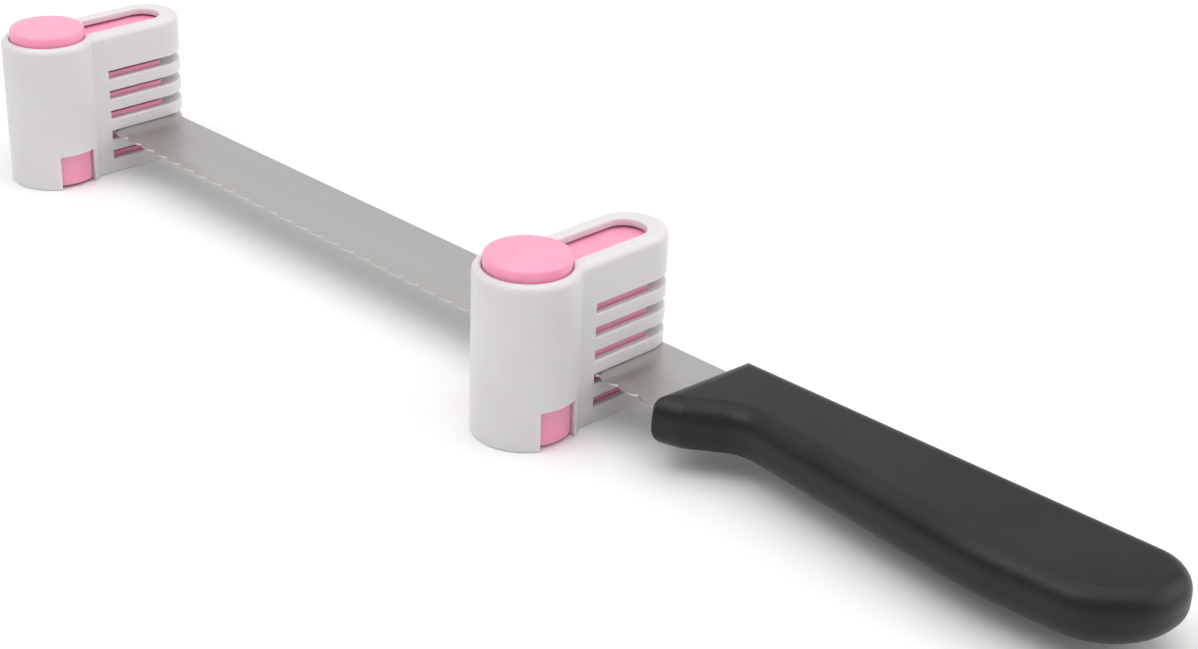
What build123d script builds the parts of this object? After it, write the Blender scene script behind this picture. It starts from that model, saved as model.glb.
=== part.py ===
from build123d import *
import math
import os

# Cake leveler: a serrated knife lies flat in the slots of two upright guides.
# Each guide is a round column with a slotted fin. A sprung slider inside it, with a round
# button on top, lifts its comb against the blade and clamps it under a slot's upper edge.
# Lengths are millimetres. X runs along the blade towards the handle, Y from the columns to
# the free ends of the fins, Z up. The origin is on the table, below the middle of the whole.

# Guide shell
crown_height = 10.9
column_radius = 12.6
column_wall = 2.2
fin_width = 18.8
fin_reach = 41.5
fin_wall = 1.8
end_block = 9.75
roof_thickness = 1.8
key_width = 10.4
key_end_wall = 5.5
rim_round = 1.6
key_round = 0.5
foot_round = 0.4
crease_round = 1.0
window_width = 11.0
window_height = 10.0
window_round = 0.6

# Slots, counted up from the table
slot_count = 5
slot_pitch = 6.0
slot_height = 2.5
slot_setback = 0.6
slot_round = 0.4
lowest_slot_top = 6.65
used_slot = 1

# Guides on the knife
guide_to_heel = 35.0
guide_to_tip = 24.5

# Clearances
cut_overrun = 1.0
touch_gap = 0.03
slide_gap = 0.2
comb_gap = 0.25
plug_gap = 0.2
edge_gap = 0.15
tang_gap = 0.05
floor_gap = 0.4

# Clamp slider
button_proud = 2.7
button_round = 0.7
cup_wall = 1.4
cup_ceiling = 2.0
cup_room = 1.8
comb_sink = 0.6
comb_wall = 1.4
comb_shelf = 1.2
comb_setback = 1.0
strip_end_gap = 1.5
stem_radius = 4.6
stem_pin_radius = 3.0
stem_pin_length = 5.0
web_thickness = 1.4

# Base plug
plug_lift = 0.5
plug_floor = 2.0
plug_skirt_height = 5.5
plug_skirt_wall = 1.2
plug_pin_radius = 3.0
plug_pin_length = 5.5
bead_lift = 3.4
bead_height = 0.8
bead_proud = 0.4
groove_margin = 0.15
tongue_lift = 1.0
tongue_recess = 1.3
tongue_gap = 0.3
tongue_top_gap = 0.45
tongue_inset = 1.5

# Clamp spring
spring_radius = 3.9
spring_wire = 0.8
spring_height = 17.5
spring_turns = 7
steps_per_turn = 4

# Blade
blade_length = 256.0
blade_thickness = 1.2
heel_width = 24.3
tip_width = 21.2
scallop_pitch = 6.36
scallop_depth = 1.1
plain_heel = 6.5
tip_radius = 16.0
grind_width = 3.0
edge_thickness = 0.4
tang_width = 12.0
tang_rise = 8.0
tang_length = 86.0
tang_hole_radius = 2.5
tang_hole_first = 22.0
tang_hole_spacing = 42.0

# Handle
handle_length = 121.5
handle_thickness = 12.6
handle_round = 5.2
heel_sink = 2.6
spine_proud = 2.2
spine_rise = 3.2
front_lean_angle = 3.5
nose_corner_drop = 2.85
nose_tip_back = 1.0
nose_tip_drop = 6.15
guard_back = 7.5
guard_drop = 3.95
recess_back = 17.8
recess_rise = 3.8
recess_round = 10.0
belly_back_share = 0.687
belly_drop = 2.3
belly_round = 60.0
butt_drop = 0.2
butt_low_share = 0.62
butt_high_share = 0.365

# Places that follow from the sizes
slot_tops = [lowest_slot_top + index * slot_pitch for index in range(slot_count)]
shell_height = slot_tops[-1] + crown_height
bore_radius = column_radius - column_wall
cavity_half = fin_width / 2 - fin_wall
slot_start = column_radius + slot_setback
key_reach = fin_reach - key_end_wall
blade_room = blade_thickness + 2 * touch_gap
press_travel = slot_height - blade_room
blade_top = slot_tops[used_slot] - touch_gap
blade_middle = blade_top - blade_thickness / 2
edge_y = slot_start + edge_gap
heel_x = guide_to_heel
tip_x = heel_x - blade_length
guide_spacing = blade_length - guide_to_heel - guide_to_tip
front_x = heel_x - heel_sink
spine_y = edge_y + heel_width + spine_proud
front_lean = math.tan(math.radians(front_lean_angle))
butt_x = front_x + handle_length
plug_top = plug_lift + plug_floor
plug_skirt_top = plug_lift + plug_skirt_height
button_top = shell_height + button_proud
stem_bottom = plug_top + spring_height
cup_bottom = plug_skirt_top + press_travel + cup_room
cup_radius = bore_radius - slide_gap
comb_half = cavity_half - comb_gap
comb_back_start = cup_radius + comb_setback
comb_end = fin_reach - end_block - comb_gap
comb_bottom = press_travel + floor_gap
comb_top = shell_height - roof_thickness - comb_sink
channel_bottom = comb_top - comb_shelf - press_travel - floor_gap
strip_end = fin_reach - fin_wall - strip_end_gap


def box_between(low, high):
    """A box from its lowest to its highest corner."""
    size = [far - near for near, far in zip(low, high)]
    return Pos(*low) * Box(*size, align=(Align.MIN, Align.MIN, Align.MIN))


def post(radius, bottom, top):
    """An upright cylinder on the column's axis."""
    return upright(Circle(radius), bottom, top)


def round_bar(half_width, start, reach):
    """A flat bar along Y with a half-round far end."""
    straight = reach - half_width - start
    bar = Pos(0, start) * Rectangle(2 * half_width, straight, align=(Align.CENTER, Align.MIN))
    return bar + Pos(0, reach - half_width) * Circle(half_width)


def upright(face, bottom, top):
    """A flat outline raised from one height to another."""
    return Pos(0, 0, bottom) * extrude(face, top - bottom)


def is_crease(vertex):
    """True where the fin's flat side leaves the round column."""
    return abs(abs(vertex.X) - fin_width / 2) < touch_gap and 0 < vertex.Y < column_radius


def shell_block():
    """The guide's outer form, solid, with its rounded rims."""
    outline = Circle(column_radius) + round_bar(fin_width / 2, 0, fin_reach)
    outline = fillet(outline.vertices().filter_by(is_crease), crease_round)
    block = extrude(outline, shell_height)
    block = fillet(block.faces().sort_by(Axis.Z)[-1].edges(), rim_round)
    return fillet(block.faces().sort_by(Axis.Z)[0].edges(), foot_round)


def slot_cut(top):
    """One slot through both walls of the fin, open at its free end."""
    low = (-fin_width / 2 - cut_overrun, slot_start, top - slot_height)
    high = (fin_width / 2 + cut_overrun, fin_reach + cut_overrun, top)
    return box_between(low, high)


def window_cut():
    """The pair of notches in the column's foot that the plug's tongues fill."""
    side = column_radius + cut_overrun
    low = (-side, -window_width / 2, -cut_overrun)
    cut = box_between(low, (side, window_width / 2, window_height))
    upper = cut.faces().sort_by(Axis.Z)[-1].edges().filter_by(Axis.X)
    cut = fillet(upper, window_round)
    return cut - post(bore_radius - cut_overrun, -cut_overrun, window_height)


def slot_rims(block, top):
    """The edges round one slot's mouth on the outside of the fin."""
    mouth = block.edges().filter_by_position(Axis.Z, top - slot_height, top)
    return mouth.filter_by(Axis.X, reverse=True)


def guide_shell():
    """The white shell of a guide."""
    shell = shell_block()
    for top in slot_tops:
        shell -= slot_cut(top)
        shell = fillet(slot_rims(shell, top), slot_round)
    shell -= upright(round_bar(key_width / 2, 0, key_reach), channel_bottom, shell_height + cut_overrun)
    shell -= post(bore_radius, -cut_overrun, shell_height + cut_overrun)
    inner_rim = shell.faces().sort_by(Axis.Z)[-1].inner_wires()[0].edges()
    shell = fillet(inner_rim, key_round)
    roof = shell_height - roof_thickness
    low = (-cavity_half, 0, -cut_overrun)
    shell -= box_between(low, (cavity_half, fin_reach - end_block, roof))
    shell -= upright(round_bar(cavity_half, 0, fin_reach - fin_wall), channel_bottom, roof)
    groove_bottom = plug_lift + bead_lift - groove_margin
    groove_top = plug_lift + bead_lift + bead_height + groove_margin
    shell -= post(bore_radius - plug_gap + bead_proud + groove_margin, groove_bottom, groove_top)
    return shell - window_cut()


def button_cup():
    """The slider's button with its skirt in the column and the stem that meets the spring."""
    ceiling = button_top - cup_ceiling
    cup = post(cup_radius, cup_bottom, button_top)
    cup = fillet(cup.faces().sort_by(Axis.Z)[-1].edges(), button_round)
    cup -= post(cup_radius - cup_wall, cup_bottom - cut_overrun, ceiling)
    cup += post(stem_radius, stem_bottom, ceiling)
    return cup + post(stem_pin_radius, stem_bottom - stem_pin_length, stem_bottom)


def comb_slot(top):
    """One gap between the comb's fingers, its floor under the blade's place."""
    low = (-fin_width, slot_start - edge_gap, top - blade_room)
    high = (fin_width, comb_end + cut_overrun, top - blade_room + slot_height)
    return box_between(low, high)


def comb_hollow(bottom, top):
    """The room inside the comb between two of its shelves."""
    low = (comb_wall - comb_half, slot_start - edge_gap, bottom)
    high = (comb_half - comb_wall, comb_end + cut_overrun, top)
    return box_between(low, high)


def comb():
    """The slider's comb in the fin: slots in line with the shell's, a shelf under each."""
    low = (-comb_half, comb_back_start, comb_bottom)
    block = box_between(low, (comb_half, comb_end, comb_top))
    hollow_bottom = comb_bottom
    for top in slot_tops:
        block -= comb_hollow(hollow_bottom, top - blade_room - comb_shelf)
        block -= comb_slot(top)
        hollow_bottom = top - blade_room + slot_height
    block -= comb_hollow(hollow_bottom, comb_top - comb_shelf)
    strip = round_bar(comb_half, comb_back_start, strip_end)
    return block + upright(strip, comb_top - comb_shelf, comb_top)


def comb_joins():
    """The two cheeks and the web that carry the comb on the cup's skirt."""
    reach = math.sqrt(cup_radius**2 - comb_half**2)
    inside = comb_half - comb_wall
    low = (-comb_half, reach - cup_wall, cup_bottom)
    cheeks = box_between(low, (comb_half, comb_back_start, comb_top))
    low = (-inside, 0, cup_bottom - cut_overrun)
    cheeks -= box_between(low, (inside, comb_back_start, comb_top - comb_shelf))
    low = (-web_thickness / 2, cup_radius - cup_wall, cup_bottom)
    web = box_between(low, (web_thickness / 2, comb_back_start, comb_top))
    return (cheeks + web) - post(cup_radius - cup_wall / 2, cup_bottom - cut_overrun, button_top)


def clamp_slider():
    """The sprung piece: a round button and cup in the column, a comb in the fin."""
    return button_cup() + comb() + comb_joins()


def base_plug():
    """The pink plug that closes the column's foot and carries the spring."""
    radius = bore_radius - plug_gap
    plug = post(radius, plug_lift, plug_skirt_top)
    plug += post(radius + bead_proud, plug_lift + bead_lift, plug_lift + bead_lift + bead_height)
    plug -= post(radius - plug_skirt_wall, plug_top, plug_skirt_top + cut_overrun)
    plug += post(plug_pin_radius, plug_lift, plug_top + plug_pin_length)
    tongue_top = window_height - tongue_top_gap
    tongues = post(column_radius - tongue_recess, tongue_lift, tongue_top)
    tongues -= post(bore_radius, plug_skirt_top, tongue_top + cut_overrun)
    tongues -= post(radius - tongue_inset, tongue_lift - cut_overrun, tongue_top + cut_overrun)
    width = window_width - 2 * tongue_gap
    slab = box_between((-column_radius, -width / 2, tongue_lift), (column_radius, width / 2, tongue_top))
    return plug + (tongues & slab)


def spring_point(turn):
    """A place on the spring's middle line and the way the wire runs there, after some turns."""
    low = plug_top + spring_wire / 2
    high = stem_bottom - spring_wire / 2
    rise = (high - low) / spring_turns
    angle = math.tau * turn
    place = Vector(spring_radius * math.cos(angle), spring_radius * math.sin(angle), low + rise * turn)
    way = Vector(-math.sin(angle), math.cos(angle), rise / (math.tau * spring_radius))
    return place, way.normalized()


def biarc(start, start_way, end, end_way):
    """Two arcs that leave start along its way and reach end along its own."""
    across = end - start
    ways = start_way + end_way
    bend = 2 * (1 - start_way.dot(end_way))
    along = across.dot(ways)
    reach = (math.sqrt(along**2 + bend * across.dot(across)) - along) / bend
    middle = (start + end + (start_way - end_way) * reach) / 2
    first = Edge.make_tangent_arc(start, start_way, middle)
    return [first, Edge.make_tangent_arc(middle, first.tangent_at(1), end)]


def clamp_spring():
    """The compression spring between the plug and the slider's stem, one unbroken wire."""
    stops = [spring_point(step / steps_per_turn) for step in range(spring_turns * steps_per_turn + 1)]
    arcs = [arc for near, far in zip(stops, stops[1:]) for arc in biarc(*near, *far)]
    start, way = stops[0]
    section = Plane(origin=start, z_dir=way) * Circle(spring_wire / 2)
    return sweep(section, path=Wire(arcs))


def spring_gap():
    """The least gap between neighbouring turns, measured on points of the middle line."""
    count = 48
    points = [spring_point(step / count)[0] for step in range(spring_turns * count + 1)]
    apart = count // 2
    gaps = [(a - b).length for i, a in enumerate(points) for b in points[i + apart:]]
    return min(gaps) - spring_wire


def blade_outline():
    """The blade from above: straight spine, scalloped edge, rounded tip, tang."""
    spine_slope = (heel_width - tip_width) / blade_length
    spine_end = tip_x + tip_radius
    spine_tip_y = edge_y + tip_width + spine_slope * tip_radius
    scallops = math.floor((blade_length - plain_heel - scallop_pitch) / scallop_pitch)
    edge_end = heel_x - plain_heel
    lines = [Line((heel_x, edge_y), (edge_end, edge_y))]
    for index in range(scallops):
        near = edge_end - index * scallop_pitch
        far = near - scallop_pitch
        valley_near = (near, edge_y) if index == 0 else (near, edge_y + scallop_depth)
        crown = ((near + far) / 2, edge_y)
        lines.append(ThreePointArc(valley_near, crown, (far, edge_y + scallop_depth)))
    tip_low = (edge_end - scallops * scallop_pitch, edge_y + scallop_depth)
    tip_out = (tip_x, edge_y + tip_width / 2)
    lines.append(Spline(tip_low, tip_out, tangents=[(-1, 0), (0, 1)]))
    lines.append(Spline(tip_out, (spine_end, spine_tip_y), tangents=[(0, 1), (1, spine_slope)]))
    lines.append(Line((spine_end, spine_tip_y), (heel_x, edge_y + heel_width)))
    lines.append(Line((heel_x, edge_y + heel_width), (heel_x, edge_y)))
    return make_face(lines)


def tang_outline(gap):
    """The tang from above, let out by a gap all round, with its two holes drawn in by it."""
    middle = edge_y + tang_rise + tang_width / 2
    width = tang_width + 2 * gap
    tang = Pos(heel_x, middle) * Rectangle(tang_length + gap, width, align=(Align.MIN, Align.CENTER))
    for index in range(2):
        hole_x = heel_x + tang_hole_first + index * tang_hole_spacing
        tang -= Pos(hole_x, middle) * Circle(tang_hole_radius - gap)
    return tang


def grind_cut(side):
    """The wedge ground off one face of the blade along its edge, above or below."""
    face_z = blade_middle + side * blade_thickness / 2
    bite = side * (blade_thickness - edge_thickness) / 2
    overrun = edge_y - cut_overrun
    deeper = bite * (grind_width + cut_overrun) / grind_width
    corners = [(edge_y + grind_width, face_z), (overrun, face_z), (overrun, face_z - deeper)]
    section = Plane.YZ.offset(tip_x - cut_overrun) * make_face(Polyline(*corners, close=True))
    return extrude(section, blade_length - plain_heel + cut_overrun)


def knife_blade():
    """The steel: blade and tang in one sheet."""
    flat = blade_outline() + tang_outline(0)
    blade = upright(flat, blade_middle - blade_thickness / 2, blade_middle + blade_thickness / 2)
    return blade - grind_cut(1) - grind_cut(-1)


def front_at(across):
    """Where the handle's leaning front lies at a place across the blade."""
    return front_x - (spine_y - across) * front_lean


def rounded_slab(outline, rounded):
    """An outline raised to the handle's thickness, its chosen upper and lower edges rounded."""
    half = handle_thickness / 2
    slab = upright(outline, blade_middle - half, blade_middle + half)
    slab = fillet(rounded(slab.faces().sort_by(Axis.Z)[-1].edges()), handle_round)
    return fillet(rounded(slab.faces().sort_by(Axis.Z)[0].edges()), handle_round)


def grip():
    """The handle's spine, butt, belly, recess and guard, drawn on past its front."""
    left = front_at(edge_y - nose_tip_drop) - cut_overrun
    guard_slope = (nose_tip_drop - guard_drop) / (guard_back - nose_tip_back)
    left_low = edge_y - guard_drop - guard_slope * (front_x + guard_back - left)
    left_high = spine_y - spine_rise * (front_x - left) / handle_length
    butt_height = spine_y + spine_rise - edge_y + butt_drop
    corners = [
        ((front_x + recess_back, edge_y + recess_rise), recess_round),
        ((front_x + handle_length * belly_back_share, edge_y - belly_drop), belly_round),
        ((butt_x, edge_y - butt_drop), butt_height * butt_low_share),
        ((butt_x, spine_y + spine_rise), butt_height * butt_high_share),
    ]
    crease = (front_x + guard_back, edge_y - guard_drop)
    places = [(left, left_high), (left, left_low), crease] + [place for place, radius in corners]
    outline = make_face(Polyline(*places, close=True))
    for place, radius in corners:
        outline = fillet(outline.vertices().sort_by_distance(place)[0], radius)
    return rounded_slab(outline, lambda edges: edges.sort_by(Axis.X)[1:])


def side_slab(first, second):
    """All to the left of a line seen from above, with the two edges along the line rounded."""
    way = (second - first).normalized() * 2 * handle_length
    inward = Vector(-way.Y, way.X)
    corners = [first - way, second + way, second + way + inward, first - way + inward]
    outline = make_face(Polyline(*corners, close=True))
    return rounded_slab(outline, lambda edges: edges.sort_by_distance(first)[:1])


def nose():
    """The handle's leaning front and the short flat between it and the nose's tip."""
    top = Vector(front_x, spine_y)
    corner = Vector(front_at(edge_y - nose_corner_drop), edge_y - nose_corner_drop)
    tip = Vector(front_x + nose_tip_back, edge_y - nose_tip_drop)
    return side_slab(top, corner) & side_slab(corner, tip)


def knife_handle():
    """The moulded handle, closed round the heel of the blade and the tang."""
    handle = grip() & nose()
    floor = blade_middle - blade_thickness / 2 - tang_gap
    ceiling = blade_middle + blade_thickness / 2 + tang_gap
    low = (front_x - heel_sink - cut_overrun, edge_y - tang_gap, floor)
    heel = box_between(low, (heel_x + tang_gap, edge_y + heel_width + tang_gap, ceiling))
    return handle - upright(tang_outline(tang_gap), floor, ceiling) - heel


os.makedirs("parts", exist_ok=True)
pieces = {"knife_blade": knife_blade(), "knife_handle": knife_handle()}
guide_places = {"near": Location((0, 0, 0)), "far": Location((-guide_spacing, 0, 0))}
guide_pieces = {
    "guide_shell": guide_shell(),
    "clamp_slider": clamp_slider(),
    "clamp_spring": clamp_spring(),
    "base_plug": base_plug(),
}
for side, place in guide_places.items():
    for name, piece in guide_pieces.items():
        pieces[f"{side}_{name}"] = place * piece
boxes = [piece.bounding_box() for piece in pieces.values()]
middle_x = (min(box.min.X for box in boxes) + max(box.max.X for box in boxes)) / 2
middle_y = (min(box.min.Y for box in boxes) + max(box.max.Y for box in boxes)) / 2
for name, piece in pieces.items():
    export_step(Pos(-middle_x, -middle_y) * piece, f"parts/{name}.step")

print(f"spring's least gap to itself {spring_gap():.2f} mm")
print(f"button travel {press_travel:.2f} mm, blade middle at {blade_middle:.2f} mm")
print(f"near column at x {-middle_x:.3f}, y {-middle_y:.3f}")
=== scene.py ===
"""Dresses the cake leveler: a serrated knife held level by two slotted guides."""

import logging
import math
from dataclasses import dataclass
from enum import Enum

import bpy
from mathutils import Matrix, Vector


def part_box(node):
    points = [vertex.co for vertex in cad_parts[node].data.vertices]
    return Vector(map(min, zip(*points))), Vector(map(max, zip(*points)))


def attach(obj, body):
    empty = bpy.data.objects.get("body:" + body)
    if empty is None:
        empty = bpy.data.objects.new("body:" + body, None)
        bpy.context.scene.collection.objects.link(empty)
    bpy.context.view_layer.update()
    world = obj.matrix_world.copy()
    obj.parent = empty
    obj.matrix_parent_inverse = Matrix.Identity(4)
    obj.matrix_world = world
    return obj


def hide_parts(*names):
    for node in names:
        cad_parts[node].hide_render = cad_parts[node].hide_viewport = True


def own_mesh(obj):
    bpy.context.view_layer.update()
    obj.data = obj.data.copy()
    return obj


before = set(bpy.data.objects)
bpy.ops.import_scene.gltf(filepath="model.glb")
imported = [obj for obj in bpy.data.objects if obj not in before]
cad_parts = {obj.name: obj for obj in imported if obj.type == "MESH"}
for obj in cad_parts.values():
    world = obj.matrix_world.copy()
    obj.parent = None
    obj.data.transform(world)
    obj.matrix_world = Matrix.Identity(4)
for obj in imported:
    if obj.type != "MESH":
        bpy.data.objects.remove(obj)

MM = 0.001
OPAQUE = 1.0
MIX_FACTOR, MIX_FIRST, MIX_SECOND, MIX_COLOUR = 0, 6, 7, 2
LOG = logging.getLogger("cake_leveler")
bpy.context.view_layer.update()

Colour = tuple[float, float, float]
Place = tuple[float, float, float]
Range = tuple[float, float]
Stretch = tuple[float, float, float]


class Side(Enum):
    """The two guides, named from the handle."""

    NEAR = "near"
    FAR = "far"


class Wire:
    """One output of a material's node, ready for arithmetic."""

    def __init__(self, tree: "MaterialTree", socket: bpy.types.NodeSocket) -> None:
        """Keeps the tree and the socket."""
        self.tree = tree
        self.socket = socket

    def _maths(self, operation: str, first: "Wire | float", second: "Wire | float") -> "Wire":
        """Adds a Math node on two values."""
        return self.tree.add("ShaderNodeMath", {"operation": operation}, {0: first, 1: second})

    def __add__(self, other: "Wire | float") -> "Wire":
        """This value plus another."""
        return self._maths("ADD", self, other)

    def __rsub__(self, other: float) -> "Wire":
        """A number less this value."""
        return self._maths("SUBTRACT", other, self)

    def __mul__(self, other: "Wire | float") -> "Wire":
        """This value times another."""
        return self._maths("MULTIPLY", self, other)


class MaterialTree:
    """The node tree of one material, with its surface shader."""

    def __init__(self, name: str) -> None:
        """Makes an empty material that has only its output and its surface shader.

        Args:
            name: the material's name.
        """
        self.material = bpy.data.materials.new(name)
        self.material.use_nodes = True
        self.nodes = self.material.node_tree.nodes
        self.nodes.clear()
        self.shader = self.nodes.new("ShaderNodeBsdfPrincipled")
        output = self.nodes.new("ShaderNodeOutputMaterial")
        self.material.node_tree.links.new(self.shader.outputs[0], output.inputs[0])

    def join(self, value: "Wire | float | tuple", socket: bpy.types.NodeSocket) -> None:
        """Feeds a socket.

        Args:
            value: a node's output to link, or a constant to set.
            socket: the input that it goes to.
        """
        if isinstance(value, Wire):
            self.material.node_tree.links.new(value.socket, socket)
        else:
            socket.default_value = value

    def add(self, kind: str, settings: dict, inputs: dict, output: int | str = 0) -> Wire:
        """Adds one node.

        Args:
            kind: the node's type.
            settings: its properties, set before its sockets are used.
            inputs: the value or link of each socket, by name or place.
            output: which output is wanted, by name or place.

        Returns:
            That output.
        """
        node = self.nodes.new(kind)
        for name, value in settings.items():
            setattr(node, name, value)
        for name, value in inputs.items():
            self.join(value, node.inputs[name])
        return Wire(self, node.outputs[output])

    def place(self, stretch: Stretch = (1, 1, 1)) -> Wire:
        """Finds where a point of the piece lies.

        Args:
            stretch: the factor of each axis.

        Returns:
            The point in millimetres, each axis times its factor.
        """
        point = self.add("ShaderNodeTexCoord", {}, {}, "Object")
        factors = tuple(factor / MM for factor in stretch)
        return self.add("ShaderNodeVectorMath", {"operation": "MULTIPLY"}, {0: point, 1: factors})

    def noise(self, place: Wire, detail: float, scale: float = 1.0) -> Wire:
        """Soft noise from 0 to 1, with a scale in swells per millimetre."""
        inputs = {"Vector": place, "Scale": scale, "Detail": detail}
        return self.add("ShaderNodeTexNoise", {}, inputs, "Fac")

    def part_of(self, value: Wire, low: float, high: float) -> Wire:
        """Measures how far a value has come from one end of a range to the other.

        Args:
            value: the value.
            low: the end that gives 0.
            high: the end that gives 1.

        Returns:
            The share, held between 0 and 1 and eased at both ends.
        """
        settings = {"interpolation_type": "SMOOTHSTEP"}
        inputs = {"Value": value, "From Min": low, "From Max": high}
        return self.add("ShaderNodeMapRange", settings, inputs)

    def blend(self, share: Wire, first: Wire | Colour, second: Colour) -> Wire:
        """Blends two colours.

        Args:
            share: how much of the second colour there is.
            first: the first colour.
            second: the second colour.

        Returns:
            The blended colour.
        """
        if not isinstance(first, Wire):
            first = (*first, OPAQUE)
        inputs = {MIX_FACTOR: share, MIX_FIRST: first, MIX_SECOND: (*second, OPAQUE)}
        return self.add("ShaderNodeMix", {"data_type": "RGBA"}, inputs, MIX_COLOUR)

    def relief(self, height: Wire, depth: float) -> Wire:
        """A normal raised by a height from 0 to 1 over a depth in millimetres."""
        return self.add("ShaderNodeBump", {}, {"Height": height, "Distance": depth * MM})

    def finish(self, **sockets: "Wire | float | tuple") -> bpy.types.Material:
        """Feeds the surface shader.

        Args:
            **sockets: each socket's value, by its name written with underscores.

        Returns:
            The finished material.
        """
        for name, value in sockets.items():
            self.join(value, self.shader.inputs[name.replace("_", " ")])
        return self.material


@dataclass(frozen=True)
class MouldedPlastic:
    """Satin injection-moulded plastic with a faint grain and slow changes of tone.

    Sizes are in millimetres. A swing is how far a noise moves the roughness.
    """

    name: str
    colour: Colour
    shade: Colour
    roughness: float = 0.38
    detail: float = 3.0
    grain_size: float = 0.35
    grain_depth: float = 0.006
    grain_swing: float = 0.1
    flow_scale: float = 0.09
    flow_swing: float = 0.06
    tone_range: Range = (0.3, 0.7)
    glow: float = 0.6
    glow_reach: float = 3.0
    glow_tint: Colour = (1.0, 0.8, 0.8)
    coat: float = 0.0
    coat_roughness: float = 0.25

    def material(self) -> bpy.types.Material:
        """Makes the material.

        Returns:
            The finished material.
        """
        tree = MaterialTree(self.name)
        place = tree.place()
        flow = tree.noise(place, self.detail, self.flow_scale)
        grain = tree.noise(place, self.detail, 1 / self.grain_size)
        smoothest = self.roughness - (self.grain_swing + self.flow_swing) / 2
        return tree.finish(
            Base_Color=tree.blend(tree.part_of(flow, *self.tone_range), self.shade, self.colour),
            Roughness=grain * self.grain_swing + flow * self.flow_swing + smoothest,
            Normal=tree.relief(grain, self.grain_depth),
            Subsurface_Weight=self.glow,
            Subsurface_Radius=self.glow_tint,
            Subsurface_Scale=self.glow_reach * MM,
            Coat_Weight=self.coat,
            Coat_Roughness=self.coat_roughness,
        )


@dataclass(frozen=True)
class HandlePlastic:
    """Black matt plastic with the fine spark-eroded grain of its mould and a little dust.

    Sizes are in millimetres. A swing is how far a noise moves the roughness.
    """

    name: str = "handle_black"
    colour: Colour = (0.0085, 0.0085, 0.0105)
    worn: Colour = (0.0125, 0.0125, 0.015)
    roughness: float = 0.37
    shine: float = 0.3
    detail: float = 4.0
    grain_size: float = 0.28
    grain_depth: float = 0.02
    grain_swing: float = 0.12
    cloud_scale: float = 0.07
    cloud_swing: float = 0.08
    tone_range: Range = (0.35, 0.7)
    dust: Colour = (0.045, 0.045, 0.05)
    dust_spacing: float = 14.0
    dust_size: float = 0.28
    dust_core_share: float = 0.4

    def material(self) -> bpy.types.Material:
        """Makes the material.

        Returns:
            The finished material.
        """
        tree = MaterialTree(self.name)
        place = tree.place()
        grain = tree.noise(place, self.detail, 1 / self.grain_size)
        cloud = tree.noise(place, self.detail, self.cloud_scale)
        smoothest = self.roughness - (self.grain_swing + self.cloud_swing) / 2
        cells = {"Vector": place, "Scale": 1 / self.dust_spacing}
        away = tree.add("ShaderNodeTexVoronoi", {}, cells)
        reach = self.dust_size / self.dust_spacing
        speck = tree.part_of(away, reach, self.dust_core_share * reach)
        clean = tree.blend(tree.part_of(cloud, *self.tone_range), self.colour, self.worn)
        return tree.finish(
            Base_Color=tree.blend(speck, clean, self.dust),
            Roughness=grain * self.grain_swing + cloud * self.cloud_swing + smoothest,
            Specular_IOR_Level=self.shine,
            Normal=tree.relief(grain, self.grain_depth),
        )


@dataclass(frozen=True)
class GroundSteel:
    """Satin sheet steel, brushed along the blade, with cross grinding near its edge.

    Sizes are in millimetres. The swing is how far the scratches move the roughness.
    """

    edge_y: float
    grind_width: float
    name: str = "blade_steel"
    bright: Colour = (0.555, 0.54, 0.525)
    dull: Colour = (0.525, 0.51, 0.495)
    roughness: float = 0.34
    swing: float = 0.08
    tone_range: Range = (0.25, 0.75)
    scratch_depth: float = 0.001
    anisotropy: float = 0.4
    brushing: Stretch = (0.03, 6.0, 6.0)
    brushing_detail: float = 4.0
    grinding: Stretch = (5.0, 0.12, 1.0)
    grinding_detail: float = 3.0
    grind_fade: float = 0.4

    def material(self) -> bpy.types.Material:
        """Makes the material.

        Returns:
            The finished material.
        """
        tree = MaterialTree(self.name)
        brushed = tree.noise(tree.place(self.brushing), self.brushing_detail)
        ground = tree.noise(tree.place(self.grinding), self.grinding_detail)
        across = tree.add("ShaderNodeSeparateXYZ", {}, {0: tree.place()}, "Y")
        border = self.edge_y + self.grind_width
        plain = tree.part_of(across, border - self.grind_fade, border + self.grind_fade)
        scratches = brushed * plain + ground * (1 - plain)
        return tree.finish(
            Base_Color=tree.blend(
                tree.part_of(scratches, *self.tone_range), self.dull, self.bright
            ),
            Metallic=1.0,
            Roughness=scratches * self.swing + (self.roughness - self.swing / 2),
            Normal=tree.relief(scratches, self.scratch_depth),
            Anisotropic=self.anisotropy,
        )


@dataclass(frozen=True)
class DrawnWire:
    """Bright drawn spring wire, with streaks that move its roughness by the swing."""

    name: str = "spring_wire"
    bright: Colour = (0.6, 0.6, 0.61)
    dull: Colour = (0.45, 0.45, 0.46)
    roughness: float = 0.32
    swing: float = 0.2
    streaks: Stretch = (1.0, 1.0, 8.0)
    streak_scale: float = 1.5
    streak_detail: float = 3.0

    def material(self) -> bpy.types.Material:
        """Makes the material.

        Returns:
            The finished material.
        """
        tree = MaterialTree(self.name)
        streak = tree.noise(tree.place(self.streaks), self.streak_detail, self.streak_scale)
        return tree.finish(
            Base_Color=tree.blend(streak, self.dull, self.bright),
            Metallic=1.0,
            Roughness=streak * self.swing + (self.roughness - self.swing / 2),
        )


@dataclass(frozen=True)
class TableTop:
    """Smooth, pale and faintly mottled table top."""

    name: str = "table_white"
    colour: Colour = (0.93, 0.93, 0.93)
    shade: Colour = (0.9, 0.9, 0.9)
    roughness: float = 0.6
    mottle_scale: float = 0.01
    mottle_detail: float = 2.0

    def material(self) -> bpy.types.Material:
        """Makes the material.

        Returns:
            The finished material.
        """
        tree = MaterialTree(self.name)
        mottle = tree.noise(tree.place(), self.mottle_detail, self.mottle_scale)
        colour = tree.blend(mottle, self.shade, self.colour)
        return tree.finish(Base_Color=colour, Roughness=self.roughness)


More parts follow.
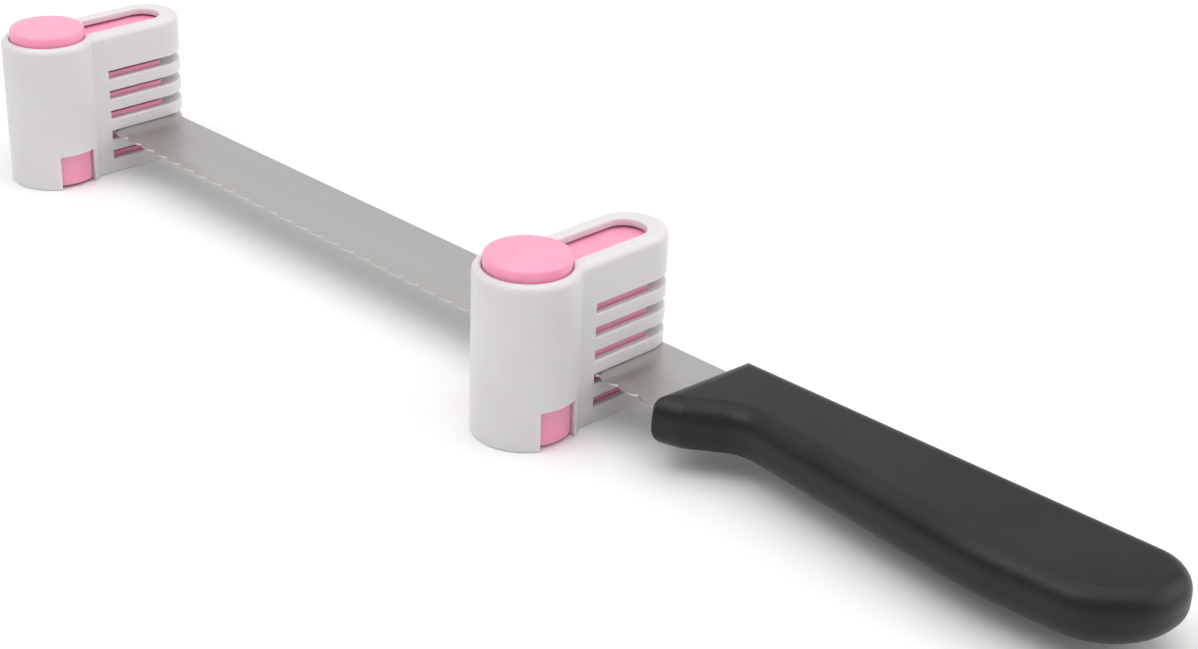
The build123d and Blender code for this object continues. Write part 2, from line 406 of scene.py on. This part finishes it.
def dress(node: str, material: bpy.types.Material) -> None:
    """Gives a node of the frame its finish.

    Args:
        node: the node's name.
        material: the finish.
    """
    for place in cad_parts[node].material_slots:
        place.material = material
    LOG.info("%s dressed in %s", node, material.name)


def add_object(name: str, data: bpy.types.ID) -> bpy.types.Object:
    """Adds an object to the scene.

    Args:
        name: the object's name.
        data: its mesh, camera or light.

    Returns:
        The object.
    """
    item = bpy.data.objects.new(name, data)
    bpy.context.scene.collection.objects.link(item)
    return item


@dataclass
class Knife:
    """The serrated knife: blade and handle, with the blade's cross grinding in millimetres."""

    grind_width: float = 3.0

    def build(self) -> None:
        """Dresses the blade and the handle."""
        edge_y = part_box("knife_blade")[0].y / MM
        dress("knife_blade", GroundSteel(edge_y, self.grind_width).material())
        dress("knife_handle", HandlePlastic().material())


@dataclass
class Guide:
    """One upright guide: shell, base plug, clamp slider and its spring.

    Sizes are in millimetres and the angle is in degrees.
    """

    side: Side
    white: bpy.types.Material
    pink: bpy.types.Material
    wire: bpy.types.Material
    press_travel: float = 1.24
    weld: float = 0.001
    smooth_angle: float = 40.0

    def smooth_copy(self, node: str) -> bpy.types.Object:
        """Copies the mesh of the rigid spring, with its facets joined and shaded smooth.

        Args:
            node: the spring's node.

        Returns:
            The copy.
        """
        coil = add_object(f"{self.side.value}_coil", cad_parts[node].data.copy())
        bpy.ops.object.select_all(action="DESELECT")
        bpy.context.view_layer.objects.active = coil
        coil.select_set(True)
        bpy.ops.object.mode_set(mode="EDIT")
        bpy.ops.mesh.select_all(action="SELECT")
        bpy.ops.mesh.remove_doubles(threshold=self.weld * MM)
        bpy.ops.object.mode_set(mode="OBJECT")
        bpy.ops.object.shade_smooth_by_angle(angle=math.radians(self.smooth_angle))
        return coil

    def coil(self) -> None:
        """Replaces the rigid spring by a smooth copy that is attached to the clamp's body."""
        node = f"{self.side.value}_clamp_spring"
        low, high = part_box(node)
        coil = self.smooth_copy(node)
        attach(coil, f"{self.side.value}_clamp")
        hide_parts(node)
        keep = 1 - self.press_travel * MM / (high[2] - low[2])
        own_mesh(coil)
        LOG.info("%s made", coil.name)

    def build(self) -> None:
        """Dresses the guide's pieces and makes its coil from the dressed spring."""
        dress(f"{self.side.value}_guide_shell", self.white)
        dress(f"{self.side.value}_base_plug", self.pink)
        dress(f"{self.side.value}_clamp_slider", self.pink)
        dress(f"{self.side.value}_clamp_spring", self.wire)
        self.coil()


@dataclass(frozen=True)
class Lamp:
    """One soft rectangular lamp, with its place and size in metres and its power in watts."""

    name: str
    place: Place
    size: tuple[float, float]
    power: float

    def hang(self, target: Place) -> None:
        """Hangs the lamp so that it faces a point.

        Args:
            target: the point, in metres.
        """
        light = bpy.data.lights.new(self.name, "AREA")
        light.shape = "RECTANGLE"
        light.size, light.size_y = self.size
        light.energy = self.power
        lamp = add_object(self.name, light)
        lamp.location = self.place
        lamp.rotation_mode = "QUATERNION"
        lamp.rotation_quaternion = (Vector(self.place) - Vector(target)).to_track_quat("Z", "Y")


@dataclass
class Studio:
    """The pale table, the soft lights and the camera.

    Places and sizes are in metres, angles in degrees, the focal length and the picture's
    width in pixels and the sensor in millimetres.
    """

    target: Place = (0.035364, 0.006575, 0.020)
    distance: float = 0.515468
    azimuth: float = 44.4227
    elevation: float = 26.4944
    roll: float = 2.2384
    focal_length: float = 2211.955
    picture_width: float = 1198.0
    sensor: float = 36.0
    table_size: float = 12.0
    room_light: Colour = (0.58, 0.58, 0.585)
    lamps: tuple[Lamp, ...] = (
        Lamp("overhead", place=(0.1, 0.1, 1.3), size=(1.6, 1.6), power=9.5),
        Lamp("back", place=(-1.9, 1.1, 0.9), size=(2.0, 2.0), power=3.2),
        Lamp("right", place=(1.0, 0.9, 0.65), size=(1.2, 1.0), power=5.4),
        Lamp("front", place=(-0.25, -0.72, 1.15), size=(0.8, 0.8), power=4.6),
    )

    def camera(self) -> None:
        """Sets the camera at the photograph's place, angle and focal length."""
        turn, tilt = math.radians(self.azimuth), math.radians(self.elevation)
        roll = math.radians(self.roll)
        ahead = Vector(
            (-math.sin(turn) * math.cos(tilt), math.cos(turn) * math.cos(tilt), -math.sin(tilt))
        )
        level = ahead.cross(Vector((0, 0, 1))).normalized()
        above = level.cross(ahead)
        right = level * math.cos(roll) + above * math.sin(roll)
        upward = above * math.cos(roll) - level * math.sin(roll)
        turned = Matrix((right, upward, -ahead)).transposed().to_4x4()
        lens = bpy.data.cameras.new("camera")
        lens.sensor_width = self.sensor
        lens.lens = self.focal_length / self.picture_width * self.sensor
        camera = add_object("camera", lens)
        place = Vector(self.target) - ahead * self.distance
        camera.matrix_world = Matrix.Translation(place) @ turned
        bpy.context.scene.camera = camera

    def table(self) -> None:
        """Lays the table that the guides stand on."""
        bpy.ops.object.select_all(action="DESELECT")
        bpy.ops.mesh.primitive_plane_add(size=self.table_size, location=(0, 0, 0))
        table = bpy.context.object
        table.name = "table"
        table.data.materials.append(TableTop().material())

    def surroundings(self) -> None:
        """Sets the even light of the room and how the picture is shown."""
        world = bpy.data.worlds.new("room")
        world.use_nodes = True
        background = world.node_tree.nodes["Background"]
        background.inputs["Color"].default_value = (*self.room_light, OPAQUE)
        bpy.context.scene.world = world
        bpy.context.scene.view_settings.view_transform = "Standard"

    def build(self) -> None:
        """Sets up the whole studio."""
        self.table()
        self.surroundings()
        for lamp in self.lamps:
            lamp.hang(self.target)
        self.camera()
        LOG.info("studio set")


def main() -> None:
    """Builds the knife, the guides and the studio in order."""
    logging.basicConfig(level=logging.INFO, format="%(name)s: %(message)s")
    Knife().build()
    white = MouldedPlastic(
        "guide_white", colour=(0.695, 0.67, 0.68), shade=(0.675, 0.65, 0.66)
    ).material()
    pink = MouldedPlastic(
        "clamp_pink", colour=(1.0, 0.33, 0.49), shade=(0.99, 0.305, 0.465),
        roughness=0.34, coat=0.6,
    ).material()
    wire = DrawnWire().material()
    for side in Side:
        Guide(side, white, pink, wire).build()
    Studio().build()


if __name__ == "__main__":
    main()
